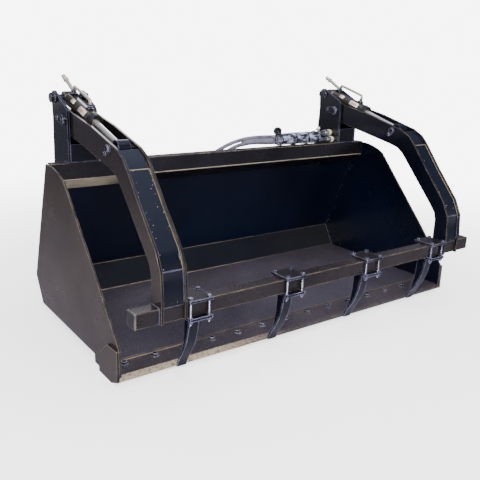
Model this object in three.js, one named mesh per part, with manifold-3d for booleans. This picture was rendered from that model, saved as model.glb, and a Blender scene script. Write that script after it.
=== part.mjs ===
// Grapple bucket for a skid steer loader: a welded bucket, two towers on its top beam, and a
// hydraulic grapple whose two arms carry a crossbar with four bolted tines.
// Millimetres. X runs across the bucket, Y back from the front of the cutting edge, and Z up from
// the underside of the cutting edge. The exported group moves all of it to the part's own frame.
import * as THREE from 'three';
import { mergeVertices } from 'three/addons/utils/BufferGeometryUtils.js';
import Module from 'manifold-3d';

const wasm = await Module();
wasm.setup();

// Clearances and shared plate sizes
const GAP = 0.3;
const GROUND = -27;
const SHELL_THICKNESS = 10;
const SIDES = [['left', -1], ['right', 1]];

// Bucket
const SIDE_OUTER = 1060;
const SIDE_THICKNESS = 10;
const SIDE_INNER = SIDE_OUTER - SIDE_THICKNESS;
const SIDE_CUTTER_THICKNESS = 12;
const EDGE_THICKNESS = 20;
const EDGE_DEPTH = 203;
const EDGE_BEVEL = 26;
const EDGE_NOSE = 13;
const FLOOR_FRONT = 137;
const HEEL_LOW = [940, EDGE_THICKNESS];
const HEEL_HIGH = [1024, 159];
const BACK_TOP = [774, 790];
const BEAM_TOP = 800;
const BEAM_FRONT = 725;
const BEAM_REAR = 778;
const BEAM_THICKNESS = 8;
const LIP_FRONT = 64;
const LIP_REAR = 260;
const EDGE_BOLT_COUNT = 14;
const EDGE_BOLT_PITCH = 152.4;
const EDGE_BOLT_Y = 105;
const EDGE_BOLT_HEAD = 12;
const RUNNER_X = [-760, 0, 760];
const RUNNER_THICKNESS = 16;

// Towers, arms and their pins
const ARM_CENTRE = 890;
const ARM_HALF_WIDTH = 60.5;
const ARM_PLATE = 12;
const TOWER_INNER = ARM_CENTRE - 76;
const TOWER_OUTER = ARM_CENTRE + 76;
const TOWER_PLATE = 12;
const PIVOT = [770, 1000];
const PIVOT_PIN_R = 19;
const HUB_R = 58;
const BASE_PIN = [882, 1095];
const BASE_PIN_R = 16;
const ROD_PIN = [298, 930];
const ROD_PIN_R = 12.5;
const PIN_RUNNING = 1;

// Crossbar, tines and clamps
const BAR_SIZE = 66;
const BAR_FRONT = -142;
const BAR_LOW = 295;
const BAR_WALL = 6;
const BAR_HALF_LENGTH = 1060;
const BAR_CAP = 5;
const TINE_X = [-768, -257, 257, 768];
const TINE_FLANGE_WIDTH = 48;
const TINE_FLANGE = 10;
const TINE_WEB = 12;
const CLAMP_HALF_WIDTH = 58;
const CLAMP_FRONT = -168;
const CLAMP_REAR = -46;
const CLAMP_THICKNESS = 13;
const CLAMP_BOLT_X = 45;
const CLAMP_BOLT_Y = [-152.5, -64];
const CLAMP_BOLT_R = 6.5;

// Hydraulic cylinders, measured from the base pin along the cylinder
const BARREL_R = 35;
const BARREL_START = 40;
const GLAND_START = 300;
const BARREL_END = 335;
const BORE_R = 28;
const ROD_R = 16;
const PISTON_START = 190;
const EYE_R = 35;
const EYE_BORE_R = 24;
const EYE_HALF_WIDTH = 30;

// Hoses on the top beam
const HOSE_R = 11;
const WRAP_START = 335;
const WRAP_END = 700;

// Coupler frame on the back of the bucket, in its own plane
const COUPLER_FOOT = 50;
const COUPLER_HALF_WIDTH = 565;
const COUPLER_HEIGHT = 461;
const SLOT_X = 408.5;
const SLOT_LENGTH = 83;
const SLOT_WIDTH = 25;

const MATERIALS = {
  gloss: new THREE.MeshStandardMaterial({ color: 0x15161c, roughness: 0.25, metalness: 0.1 }),
  inside: new THREE.MeshStandardMaterial({ color: 0x1a1a24, roughness: 0.5, metalness: 0.1 }),
  edge: new THREE.MeshStandardMaterial({ color: 0x2a241f, roughness: 0.4, metalness: 0.3 }),
  zinc: new THREE.MeshStandardMaterial({ color: 0x9a9aa0, roughness: 0.35, metalness: 0.9 }),
  chrome: new THREE.MeshStandardMaterial({ color: 0xd8d4cc, roughness: 0.1, metalness: 1.0 }),
  hose: new THREE.MeshStandardMaterial({ color: 0x24242a, roughness: 0.6, metalness: 0.0 }),
  film: new THREE.MeshStandardMaterial({ color: 0x77778c, roughness: 0.3, metalness: 0.0 }),
};

// ---- geometry helpers -------------------------------------------------------------------------

const YZ_ALONG_X = new THREE.Matrix4().makeBasis(
  new THREE.Vector3(0, 1, 0),
  new THREE.Vector3(0, 0, 1),
  new THREE.Vector3(1, 0, 0),
);

function shapeOf(points, holes = []) {
  const shape = new THREE.Shape(points.map(([y, z]) => new THREE.Vector2(y, z)));
  for (const [y, z, radius] of holes) {
    shape.holes.push(new THREE.Path().absarc(y, z, radius, 0, 2 * Math.PI, false));
  }
  return shape;
}

function extrudeX(shape, [low, high], curveSegments = 8) {
  const depth = high - low;
  const geometry = new THREE.ExtrudeGeometry(shape, { depth, bevelEnabled: false, curveSegments });
  geometry.translate(0, 0, low);
  return geometry.applyMatrix4(YZ_ALONG_X);
}

function box([x0, x1], [y0, y1], [z0, z1]) {
  const geometry = new THREE.BoxGeometry(x1 - x0, y1 - y0, z1 - z0);
  return geometry.translate((x0 + x1) / 2, (y0 + y1) / 2, (z0 + z1) / 2);
}

function roundX(radius, [low, high], [y, z], sides = 16) {
  const geometry = new THREE.CylinderGeometry(radius, radius, high - low, sides);
  geometry.rotateZ(Math.PI / 2);
  return geometry.translate((low + high) / 2, y, z);
}

function roundZ(radius, [low, high], [x, y], sides = 8) {
  const geometry = new THREE.CylinderGeometry(radius, radius, high - low, sides);
  geometry.rotateX(Math.PI / 2);
  return geometry.translate(x, y, (low + high) / 2);
}

// A turned shape along -Y, from [radius, distance] points
function turned(profile, sides = 16) {
  const points = profile.map(([radius, distance]) => new THREE.Vector2(radius, distance));
  return new THREE.LatheGeometry(points, sides).rotateX(Math.PI);
}

function tube(points, radius, sides, steps) {
  const curve = new THREE.CatmullRomCurve3(points.map((p) => new THREE.Vector3(...p)));
  const ring = [];
  for (let i = 0; i < sides; i += 1) {
    const angle = (2 * Math.PI * i) / sides;
    ring.push(new THREE.Vector2(radius * Math.cos(angle), radius * Math.sin(angle)));
  }
  return new THREE.ExtrudeGeometry(new THREE.Shape(ring), { steps, bevelEnabled: false, extrudePath: curve });
}

function solid(geometry) {
  const bare = new THREE.BufferGeometry();
  bare.setAttribute('position', geometry.getAttribute('position'));
  bare.setIndex(geometry.index);
  const merged = mergeVertices(bare, 1e-4);
  const vertProperties = merged.getAttribute('position').array;
  const triVerts = new Uint32Array(merged.index.array);
  return new wasm.Manifold(new wasm.Mesh({ numProp: 3, vertProperties, triVerts }));
}

function surface(manifold) {
  const { vertProperties, triVerts } = manifold.getMesh();
  const geometry = new THREE.BufferGeometry();
  geometry.setAttribute('position', new THREE.BufferAttribute(vertProperties, 3));
  geometry.setIndex(new THREE.BufferAttribute(triVerts, 1));
  return geometry;
}

function join(...geometries) {
  return surface(geometries.map(solid).reduce((a, b) => a.add(b)));
}

function cut(body, ...tools) {
  return surface(tools.map(solid).reduce((a, b) => a.subtract(b), solid(body)));
}

function direction(a, b) {
  const length = Math.hypot(b[0] - a[0], b[1] - a[1]);
  return [(b[0] - a[0]) / length, (b[1] - a[1]) / length];
}

// A bent path moved sideways to its left, with mitred bends
function offsetPath(path, distance) {
  return path.map((point, i) => {
    const into = i > 0 ? direction(path[i - 1], point) : direction(point, path[1]);
    const out = i < path.length - 1 ? direction(point, path[i + 1]) : into;
    const reach = distance / (1 + into[0] * out[0] + into[1] * out[1]);
    return [point[0] - reach * (into[1] + out[1]), point[1] + reach * (into[0] + out[0])];
  });
}

function bentSheet(path, thickness) {
  return [...path, ...offsetPath(path, thickness).reverse()];
}

// The flat plates of a bent path, one outline each, a gap apart at the mitred bends
function mitredPlates(path, thickness) {
  const inner = offsetPath(path, thickness);
  return path.slice(1).map((end, i) => {
    const start = path[i];
    const along = direction(start, end);
    const shift = (p, amount) => [p[0] + amount * along[0], p[1] + amount * along[1]];
    const trimStart = i > 0 ? GAP / 2 : 0;
    const trimEnd = i < path.length - 2 ? GAP / 2 : 0;
    return [
      shift(start, trimStart),
      shift(end, -trimEnd),
      shift(inner[i + 1], -trimEnd),
      shift(inner[i], trimStart),
    ];
  });
}

function across(side, near, far) {
  return side > 0 ? [near, far] : [-far, -near];
}

function add(group, name, geometry, material) {
  const mesh = new THREE.Mesh(geometry, MATERIALS[material]);
  mesh.name = name;
  group.add(mesh);
}

// ---- bucket -----------------------------------------------------------------------------------

function shell(group) {
  const width = [-SIDE_INNER + GAP, SIDE_INNER - GAP];
  const path = [[FLOOR_FRONT, EDGE_THICKNESS], HEEL_LOW, HEEL_HIGH, BACK_TOP];
  const names = ['floor_plate', 'heel_plate', 'back_plate'];
  mitredPlates(path, SHELL_THICKNESS).forEach((outline, i) => {
    add(group, names[i], extrudeX(shapeOf(outline), width), 'inside');
  });
  const beam = [[BEAM_REAR, BEAM_TOP], [BEAM_FRONT, BEAM_TOP], [BEAM_FRONT, 715], [808, 656.7]];
  add(group, 'top_beam', extrudeX(shapeOf(bentSheet(beam, BEAM_THICKNESS)), width), 'gloss');
}

function sidePlate() {
  const shape = new THREE.Shape();
  shape.moveTo(4, EDGE_THICKNESS);
  shape.lineTo(4, 142);
  shape.lineTo(30, 176);
  shape.lineTo(186, 353);
  shape.lineTo(547, 745);
  shape.quadraticCurveTo(598, 778, 690, 792);
  shape.lineTo(BACK_TOP[0] + 6, BACK_TOP[1] + 4);
  shape.lineTo(...HEEL_HIGH);
  shape.lineTo(...HEEL_LOW);
  shape.closePath();
  return shape;
}

const SIDE_CUTTER = [[0, 0], [3, 142], [95, 142], [188, 62], [188, GROUND], [64, GROUND]];

function sides(group) {
  for (const [name, side] of SIDES) {
    const plate = extrudeX(sidePlate(), across(side, SIDE_INNER, SIDE_OUTER), 6);
    add(group, `side_plate_${name}`, plate, 'gloss');
    const reach = across(side, SIDE_OUTER + GAP, SIDE_OUTER + SIDE_CUTTER_THICKNESS);
    add(group, `side_cutter_${name}`, extrudeX(shapeOf(SIDE_CUTTER), reach), 'gloss');
  }
}

function edgeBoltX() {
  return Array.from({ length: EDGE_BOLT_COUNT }, (_, i) => (i - (EDGE_BOLT_COUNT - 1) / 2) * EDGE_BOLT_PITCH);
}

function cuttingEdge(group) {
  const width = [-SIDE_OUTER, SIDE_OUTER];
  const top = EDGE_THICKNESS - GAP;
  const profile = [[0, 0], [EDGE_DEPTH, 0], [EDGE_DEPTH, top], [EDGE_BEVEL, top], [0, EDGE_NOSE]];
  const holes = edgeBoltX().map((x) => roundZ(10, [-5, EDGE_THICKNESS + 5], [x, EDGE_BOLT_Y]));
  add(group, 'cutting_edge', cut(extrudeX(shapeOf(profile), width), ...holes), 'edge');
}

// The plate under the cutting edge, with the bolts that hold the edge standing in it
function lipPlate(group) {
  const step = EDGE_DEPTH + GAP;
  const low = GROUND + 7;
  const profile = [
    [LIP_FRONT, low], [LIP_REAR, low], [LIP_REAR, EDGE_THICKNESS - GAP],
    [step, EDGE_THICKNESS - GAP], [step, -GAP], [LIP_FRONT, -GAP],
  ];
  const pieces = [extrudeX(shapeOf(profile), [-SIDE_OUTER, SIDE_OUTER])];
  for (const x of edgeBoltX()) {
    pieces.push(roundZ(8, [-5, EDGE_THICKNESS + 5], [x, EDGE_BOLT_Y]));
    pieces.push(roundZ(15, [EDGE_THICKNESS, EDGE_THICKNESS + EDGE_BOLT_HEAD], [x, EDGE_BOLT_Y], 6));
  }
  add(group, 'lip_plate', join(...pieces), 'gloss');
}

function runners(group) {
  const top = EDGE_THICKNESS - GAP;
  const profile = [[LIP_REAR + 2, GROUND], [860, GROUND], [905, top], [LIP_REAR + 2, top]];
  RUNNER_X.forEach((x, i) => {
    const width = [x - RUNNER_THICKNESS / 2, x + RUNNER_THICKNESS / 2];
    add(group, `skid_runner_${i + 1}`, extrudeX(shapeOf(profile), width), 'gloss');
  });
}

// ---- towers -----------------------------------------------------------------------------------

// The point on the outer face of the back plate at a height, moved back clear of it
function behindBack(z, clearance) {
  const lean = (HEEL_HIGH[0] - BACK_TOP[0]) / (BACK_TOP[1] - HEEL_HIGH[1]);
  return [BACK_TOP[0] + (BACK_TOP[1] - z) * lean + clearance, z];
}

function towerPlate() {
  const shape = new THREE.Shape();
  shape.moveTo(720, BEAM_TOP + GAP);
  shape.lineTo(720, 1048);
  shape.lineTo(738, 1066);
  shape.lineTo(858, 1120);
  shape.absarc(...BASE_PIN, 34, 2.3, -0.25, true);
  shape.lineTo(908, 1000);
  shape.lineTo(922, 760);
  shape.lineTo(905, 560);
  shape.lineTo(...behindBack(540, 1));
  shape.lineTo(BEAM_REAR + 1, BEAM_TOP + GAP);
  shape.closePath();
  shape.holes.push(new THREE.Path().absarc(...PIVOT, PIVOT_PIN_R + PIN_RUNNING, 0, 2 * Math.PI, false));
  shape.holes.push(new THREE.Path().absarc(...BASE_PIN, BASE_PIN_R + PIN_RUNNING, 0, 2 * Math.PI, false));
  return shape;
}

function pivotPin(side) {
  const flag = 8;
  const pieces = [roundX(PIVOT_PIN_R, across(side, TOWER_INNER - 18, TOWER_OUTER + 18), PIVOT)];
  for (const faces of [[TOWER_INNER - GAP - flag, TOWER_INNER - GAP], [TOWER_OUTER + GAP, TOWER_OUTER + GAP + flag]]) {
    pieces.push(box(across(side, ...faces), [PIVOT[0] - 26, PIVOT[0] + 74], [PIVOT[1] - 21, PIVOT[1] + 21]));
  }
  return join(...pieces);
}

function basePin(side) {
  const nut = 20;
  return join(
    roundX(BASE_PIN_R, across(side, TOWER_INNER - 14, TOWER_OUTER + 14), BASE_PIN),
    roundX(27, across(side, TOWER_INNER - GAP - nut, TOWER_INNER - GAP), BASE_PIN, 6),
    roundX(27, across(side, TOWER_OUTER + GAP, TOWER_OUTER + GAP + nut), BASE_PIN, 6),
  );
}

function towers(group) {
  const inside = [TOWER_INNER + TOWER_PLATE + GAP, TOWER_OUTER - TOWER_PLATE - GAP];
  for (const [name, side] of SIDES) {
    const inner = across(side, TOWER_INNER, TOWER_INNER + TOWER_PLATE);
    const outer = across(side, TOWER_OUTER - TOWER_PLATE, TOWER_OUTER);
    add(group, `tower_inner_plate_${name}`, extrudeX(towerPlate(), inner), 'gloss');
    add(group, `tower_outer_plate_${name}`, extrudeX(towerPlate(), outer), 'gloss');
    const front = box(across(side, ...inside), [722, 734], [BEAM_TOP + GAP, 888]);
    add(group, `tower_front_plate_${name}`, front, 'gloss');
    const rear = box(across(side, ...inside), [888, 900], [640, 1035]);
    add(group, `tower_rear_plate_${name}`, rear, 'gloss');
    add(group, `pivot_pin_${name}`, pivotPin(side), 'zinc');
    add(group, `cylinder_base_pin_${name}`, basePin(side), 'zinc');
  }
}

// ---- coupler frame ----------------------------------------------------------------------------

// Local frame: Y out of the back plate, Z up its slope
function couplerFrame(group) {
  const lean = Math.atan2(HEEL_HIGH[0] - BACK_TOP[0], BACK_TOP[1] - HEEL_HIGH[1]);
  const frame = new THREE.Group();
  frame.rotation.x = lean;
  frame.position.y = HEEL_HIGH[0] - COUPLER_FOOT * Math.sin(lean);
  frame.position.z = HEEL_HIGH[1] + COUPLER_FOOT * Math.cos(lean);
  group.add(frame);
  const width = [-COUPLER_HALF_WIDTH, COUPLER_HALF_WIDTH];
  const hook = [
    [GAP, 378], [12, 378], [12, 432], [44, 400], [53, 409], [14, COUPLER_HEIGHT], [GAP, COUPLER_HEIGHT],
  ];
  add(frame, 'coupler_top_hook', extrudeX(shapeOf(hook), width), 'gloss');
  const ledge = [[GAP, 0], [74, 0], [74, 14], [12, 14], [12, 90], [GAP, 90]];
  const slots = [-SLOT_X, SLOT_X].map((x) => (
    box([x - SLOT_LENGTH / 2, x + SLOT_LENGTH / 2], [32, 32 + SLOT_WIDTH], [-10, 24])
  ));
  add(frame, 'coupler_bottom_ledge', cut(extrudeX(shapeOf(ledge), width), ...slots), 'gloss');
  for (const [name, side] of SIDES) {
    const bar = box(across(side, COUPLER_HALF_WIDTH - 90, COUPLER_HALF_WIDTH), [GAP, 16], [90 + GAP, 378 - GAP]);
    add(frame, `coupler_bar_${name}`, bar, 'gloss');
  }
}

// ---- hoses ------------------------------------------------------------------------------------

const HOSE_EXIT_X = -250;
const HOSE_ROUTES = {
  lower: [
    [HOSE_EXIT_X, 872, 664], [-205, 872, 664], [-150, 868, 674], [-90, 856, 702], [-30, 838, 742],
    [25, 819, 782], [80, 801, 811], [140, 786, 826], [205, 779, 829], [270, 776, 826],
    [335, 775, 823], [430, 775, 822], [530, 775, 822], [630, 774, 822], [680, 767, 821],
    [710, 764, 820], [735, 764, 820],
  ],
  upper: [
    [HOSE_EXIT_X, 872, 712], [-206, 872, 712], [-155, 868, 722], [-95, 856, 748], [-38, 838, 782],
    [20, 819, 816], [80, 801, 840], [145, 787, 853], [210, 779, 857], [270, 776, 857],
    [335, 775, 855], [430, 775, 855], [530, 775, 855], [630, 776, 855], [680, 783, 858],
    [710, 787, 860], [735, 787, 860],
  ],
};

function bulkhead() {
  const plate = [behindBack(644, 1), behindBack(738, 1), [898, 738], [898, 644]];
  const pieces = [extrudeX(shapeOf(plate), [-272, -264])];
  for (const route of Object.values(HOSE_ROUTES)) {
    const centre = route[0].slice(1);
    pieces.push(roundX(17, [-284, HOSE_EXIT_X - 24], centre, 6));
    pieces.push(roundX(HOSE_R + 2, [-300, HOSE_EXIT_X - GAP], centre, 12));
  }
  return join(...pieces);
}

// A quick coupler on the end of a hose, with the dust cap on its nose
function quickCoupler() {
  return turned([
    [0, 1], [15, 1], [15, 18], [18, 20], [18, 46], [14, 48], [14, 56], [19, 56], [19, 68], [16, 70],
    [16, 76], [0, 76],
  ], 12);
}

function hoses(group) {
  for (const [name, route] of Object.entries(HOSE_ROUTES)) {
    add(group, `hose_${name}`, tube(route, HOSE_R, 8, 44), 'hose');
    const [x, y, z] = route[route.length - 1];
    const onward = new THREE.Group();
    onward.position.set(x, y, z);
    onward.rotation.z = Math.PI / 2;
    group.add(onward);
    add(onward, `quick_coupler_${name}`, quickCoupler(), 'zinc');
  }
  add(group, 'hose_wrap', extrudeX(wrapShape(), [WRAP_START, WRAP_END], 10), 'film');
  add(group, 'bulkhead_bracket', bulkhead(), 'zinc');
}

function wrapShape() {
  const centre = [775, BEAM_TOP + 39];
  const shape = new THREE.Shape();
  shape.absellipse(...centre, 37, 38, 0, 2 * Math.PI, false, 0);
  shape.holes.push(new THREE.Path().absellipse(...centre, 34.5, 35.5, 0, 2 * Math.PI, true, 0));
  return shape;
}

// ---- grapple ----------------------------------------------------------------------------------

const BAR_TOP = BAR_LOW + BAR_SIZE;
const BAR_REAR = BAR_FRONT + BAR_SIZE;
const ARM_OUTER_EDGE = [
  [-155, BAR_LOW - 2], [-160, 400], [-150, 510], [-110, 590], [25, 742], [130, 870], [170, 910],
  [230, 940], [480, 1002], [700, 1040],
];
const ARM_INNER_EDGE = [
  [700, 925], [300, 850], [248, 836], [210, 811], [165, 764], [-28, 557], [-60, 518], [-72, 478],
  [-72, BAR_TOP + GAP],
];

function armPlate() {
  const shape = new THREE.Shape();
  ARM_OUTER_EDGE.forEach(([y, z], i) => (i ? shape.lineTo(y, z) : shape.moveTo(y, z)));
  shape.absarc(...PIVOT, HUB_R, 1.75, -1.85, true);
  ARM_INNER_EDGE.forEach(([y, z]) => shape.lineTo(y, z));
  shape.lineTo(BAR_FRONT - GAP, BAR_TOP + GAP);
  shape.lineTo(BAR_FRONT - GAP, BAR_LOW - 2);
  shape.closePath();
  shape.holes.push(new THREE.Path().absarc(...PIVOT, PIVOT_PIN_R + PIN_RUNNING, 0, 2 * Math.PI, false));
  shape.holes.push(new THREE.Path().absarc(...ROD_PIN, ROD_PIN_R + PIN_RUNNING, 0, 2 * Math.PI, false));
  return shape;
}

function rodPin(side) {
  const low = ARM_CENTRE - ARM_HALF_WIDTH;
  const high = ARM_CENTRE + ARM_HALF_WIDTH;
  const pieces = [roundX(ROD_PIN_R, across(side, low - 12, high + 12), ROD_PIN)];
  for (const face of [[low - GAP - 8, low - GAP], [high + GAP, high + GAP + 8]]) {
    pieces.push(roundX(23, across(side, ...face), ROD_PIN));
    pieces.push(box(across(side, ...face), [ROD_PIN[0] - 11, ROD_PIN[0] + 11], [ROD_PIN[1] - 48, ROD_PIN[1]]));
  }
  return join(...pieces);
}

function arms(group) {
  const recess = 10;
  const facePath = offsetPath(ARM_OUTER_EDGE.slice(1, 8), -recess);
  facePath[0] = [facePath[0][0], BAR_TOP + 1.5];
  const face = bentSheet(facePath, -ARM_PLATE + 2);
  const web = bentSheet(offsetPath(ARM_INNER_EDGE, -2), -ARM_PLATE + 2);
  const inside = [ARM_CENTRE - ARM_HALF_WIDTH + ARM_PLATE + GAP, ARM_CENTRE + ARM_HALF_WIDTH - ARM_PLATE - GAP];
  for (const [name, side] of SIDES) {
    const inner = across(side, ARM_CENTRE - ARM_HALF_WIDTH, ARM_CENTRE - ARM_HALF_WIDTH + ARM_PLATE);
    const outer = across(side, ARM_CENTRE + ARM_HALF_WIDTH - ARM_PLATE, ARM_CENTRE + ARM_HALF_WIDTH);
    add(group, `arm_inner_plate_${name}`, extrudeX(armPlate(), inner), 'gloss');
    add(group, `arm_outer_plate_${name}`, extrudeX(armPlate(), outer), 'gloss');
    add(group, `arm_face_plate_${name}`, extrudeX(shapeOf(face), across(side, ...inside)), 'gloss');
    add(group, `arm_web_plate_${name}`, extrudeX(shapeOf(web), across(side, ...inside)), 'gloss');
    add(group, `rod_pin_${name}`, rodPin(side), 'zinc');
  }
}

function crossbar(group) {
  const square = (inset) => [
    [BAR_FRONT + inset, BAR_LOW + inset], [BAR_REAR - inset, BAR_LOW + inset],
    [BAR_REAR - inset, BAR_TOP - inset], [BAR_FRONT + inset, BAR_TOP - inset],
  ];
  const shape = shapeOf(square(0));
  shape.holes.push(shapeOf(square(BAR_WALL)));
  const end = BAR_HALF_LENGTH - BAR_CAP;
  add(group, 'crossbar_tube', extrudeX(shape, [-end + GAP, end - GAP]), 'gloss');
  for (const [name, side] of SIDES) {
    add(group, `crossbar_cap_${name}`, extrudeX(shapeOf(square(0)), across(side, end, BAR_HALF_LENGTH)), 'gloss');
  }
}

const TINE_FRONT = [
  [-114, BAR_LOW - 8], [-108, 233], [-99, 190], [-90, 157], [-75, 121], [-53, 82], [-31, 49],
  [-17, 22], [-12, 2],
];
const TINE_BACK = [[-6, 24], [-12, 58], [-27, 106], [-36, 160], [-39, 220], [-41, BAR_LOW - 8]];

function clampBolts(x) {
  return CLAMP_BOLT_Y.flatMap((y) => [[x - CLAMP_BOLT_X, y], [x + CLAMP_BOLT_X, y]]);
}

function tine(x) {
  const flange = bentSheet(TINE_FRONT, TINE_FLANGE);
  const web = [...offsetPath(TINE_FRONT, TINE_FLANGE - 2).slice(0, -1), ...TINE_BACK];
  const width = CLAMP_HALF_WIDTH - 4;
  const base = box([x - width, x + width], [CLAMP_FRONT, CLAMP_REAR], [BAR_LOW - 14, BAR_LOW - GAP]);
  const body = join(
    extrudeX(shapeOf(flange), [x - TINE_FLANGE_WIDTH / 2, x + TINE_FLANGE_WIDTH / 2]),
    extrudeX(shapeOf(web), [x - TINE_WEB / 2, x + TINE_WEB / 2]),
    base,
  );
  const holes = clampBolts(x).map((place) => roundZ(CLAMP_BOLT_R + 1.5, [BAR_LOW - 30, BAR_LOW + 10], place));
  return cut(body, ...holes);
}

// The plate over the crossbar, with its four bolts and their nuts
function clamp(x) {
  const low = BAR_TOP + GAP;
  const high = BAR_TOP + CLAMP_THICKNESS;
  const under = BAR_LOW - 14 - GAP;
  const width = [x - CLAMP_HALF_WIDTH, x + CLAMP_HALF_WIDTH];
  const pieces = [box(width, [CLAMP_FRONT, CLAMP_REAR], [low, high])];
  for (const place of clampBolts(x)) {
    pieces.push(roundZ(CLAMP_BOLT_R, [under - 18, high + 2], place));
    pieces.push(roundZ(12, [high - 1, high + 9], place, 6));
    pieces.push(roundZ(12, [under - 11, under], place, 6));
  }
  return join(...pieces);
}

function tines(group) {
  TINE_X.forEach((x, i) => {
    add(group, `tine_${i + 1}`, tine(x), 'gloss');
    add(group, `tine_clamp_${i + 1}`, clamp(x), 'gloss');
  });
}

// ---- cylinders --------------------------------------------------------------------------------

// Local frame of a cylinder: origin on the base pin, the rod pin along -Y, Z up
const CYLINDER_TILT = Math.atan2(BASE_PIN[1] - ROD_PIN[1], BASE_PIN[0] - ROD_PIN[0]);
const CYLINDER_LENGTH = Math.hypot(BASE_PIN[0] - ROD_PIN[0], BASE_PIN[1] - ROD_PIN[1]);
const LINE_HEIGHT = 77;
const LINE_R = 6;

function steelLine() {
  return tube([
    [0, -62, BARREL_R - 4], [0, -62, LINE_HEIGHT - 12], [0, -72, LINE_HEIGHT], [0, -160, LINE_HEIGHT + 2],
    [0, -240, LINE_HEIGHT + 2], [0, -254, LINE_HEIGHT - 10], [0, -256, BARREL_R - 4],
  ], LINE_R, 6, 18);
}

function rearElbow() {
  return tube([[0, -52, BARREL_R - 4], [0, -36, 50], [0, 0, 62], [0, 44, 72], [0, 90, 80]], 9, 6, 8);
}

function barrel() {
  const body = turned([
    [0, 20], [26, 20], [BARREL_R, BARREL_START], [BARREL_R, GLAND_START], [BARREL_R + 3, GLAND_START],
    [BARREL_R + 3, BARREL_END - 4], [BARREL_R - 1, BARREL_END], [ROD_R + 0.8, BARREL_END],
    [ROD_R + 0.8, BARREL_END - 20], [BORE_R, BARREL_END - 20], [BORE_R, 70], [0, 70],
  ]);
  const lug = roundX(30, [-EYE_HALF_WIDTH, EYE_HALF_WIDTH], [0, 0]);
  const bore = roundX(BASE_PIN_R + PIN_RUNNING, [-EYE_HALF_WIDTH - 5, EYE_HALF_WIDTH + 5], [0, 0]);
  const rearPort = box([-16, 16], [-74, -40], [BARREL_R - 6, BARREL_R + 12]);
  const frontPort = box([-13, 13], [-270, -242], [BARREL_R - 6, BARREL_R + 10]);
  return cut(join(body, lug, rearPort, frontPort, steelLine(), rearElbow()), bore);
}

function rod() {
  const shaft = turned([
    [0, PISTON_START], [BORE_R - 0.8, PISTON_START], [BORE_R - 0.8, PISTON_START + 30],
    [ROD_R, PISTON_START + 30], [ROD_R, CYLINDER_LENGTH - EYE_BORE_R - 3], [0, CYLINDER_LENGTH - EYE_BORE_R - 3],
  ]);
  const centre = [-CYLINDER_LENGTH, 0];
  const eye = roundX(EYE_R, [-EYE_HALF_WIDTH, EYE_HALF_WIDTH], centre);
  const bore = roundX(EYE_BORE_R, [-EYE_HALF_WIDTH - 5, EYE_HALF_WIDTH + 5], centre);
  return cut(join(shaft, eye), bore);
}

function cylinders(group) {
  for (const [name, side] of SIDES) {
    const place = new THREE.Group();
    place.position.set(side * ARM_CENTRE, ...BASE_PIN);
    place.rotation.x = CYLINDER_TILT;
    group.add(place);
    add(place, `cylinder_barrel_${name}`, barrel(), 'gloss');
    add(place, `cylinder_rod_${name}`, rod(), 'chrome');
  }
}

// ---- the part ---------------------------------------------------------------------------------

const model = new THREE.Group();
shell(model);
sides(model);
cuttingEdge(model);
lipPlate(model);
runners(model);
towers(model);
couplerFrame(model);
hoses(model);
arms(model);
crossbar(model);
tines(model);
cylinders(model);

// The origin is under the middle of the bounding box, on the ground
model.updateMatrixWorld(true);
const bounds = new THREE.Box3().setFromObject(model, true);
model.position.set(0, -(bounds.min.y + bounds.max.y) / 2, -bounds.min.z);

export default model;
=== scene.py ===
"""Looks of the skid steer grapple bucket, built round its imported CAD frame.

Places are given in millimetres from the lower front edge of the cutting edge (X across, Y back,
Z up) and turned into the frame's metres by at(). A cylinder's pieces are placed along its own axis.
"""

import math
import random

import bmesh
import bpy
from mathutils import Matrix, Vector, noise


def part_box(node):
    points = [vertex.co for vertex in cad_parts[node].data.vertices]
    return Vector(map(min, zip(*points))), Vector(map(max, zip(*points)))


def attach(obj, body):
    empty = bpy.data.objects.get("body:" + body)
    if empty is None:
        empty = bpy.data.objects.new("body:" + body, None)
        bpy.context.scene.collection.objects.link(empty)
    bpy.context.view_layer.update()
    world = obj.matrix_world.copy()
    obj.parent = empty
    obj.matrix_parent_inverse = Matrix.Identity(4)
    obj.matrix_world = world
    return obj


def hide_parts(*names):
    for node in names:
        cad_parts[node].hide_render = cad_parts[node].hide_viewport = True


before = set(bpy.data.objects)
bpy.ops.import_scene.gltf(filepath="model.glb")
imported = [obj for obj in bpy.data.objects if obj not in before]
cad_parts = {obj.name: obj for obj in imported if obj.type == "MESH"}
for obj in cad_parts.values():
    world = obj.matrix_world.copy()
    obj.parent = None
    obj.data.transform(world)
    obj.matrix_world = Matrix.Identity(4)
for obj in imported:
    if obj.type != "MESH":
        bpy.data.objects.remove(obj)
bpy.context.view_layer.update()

MM = 0.001
X, Y, Z = Vector((1, 0, 0)), Vector((0, 1, 0)), Vector((0, 0, 1))
SIDES = (("left", -1), ("right", 1))
EDGE_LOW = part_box("cutting_edge")[0]
BEAM_TOP = 800
ARM_CENTRE = 890
ARM_HALF_WIDTH = 60.5
TOWER_HALF_WIDTH = 76
BAR_LOW, BAR_TOP = 295, 361
BAR_FRONT, BAR_REAR = -142, -76
TINE_X = (-768, -257, 257, 768)
PIVOT = (770, 1000)
BASE_PIN = (882, 1095)
ROD_PIN = (298, 930)


def at(x, y, z):
    """A point in the row frame, in metres, from millimetres off the cutting edge's lower front edge."""
    return Vector((x * MM, EDGE_LOW.y + y * MM, EDGE_LOW.z + z * MM))


def placed(name, data):
    """A new object in the scene."""
    thing = bpy.data.objects.new(name, data)
    bpy.context.scene.collection.objects.link(thing)
    return thing


# ---- camera and light ---------------------------------------------------------------------------

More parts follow.
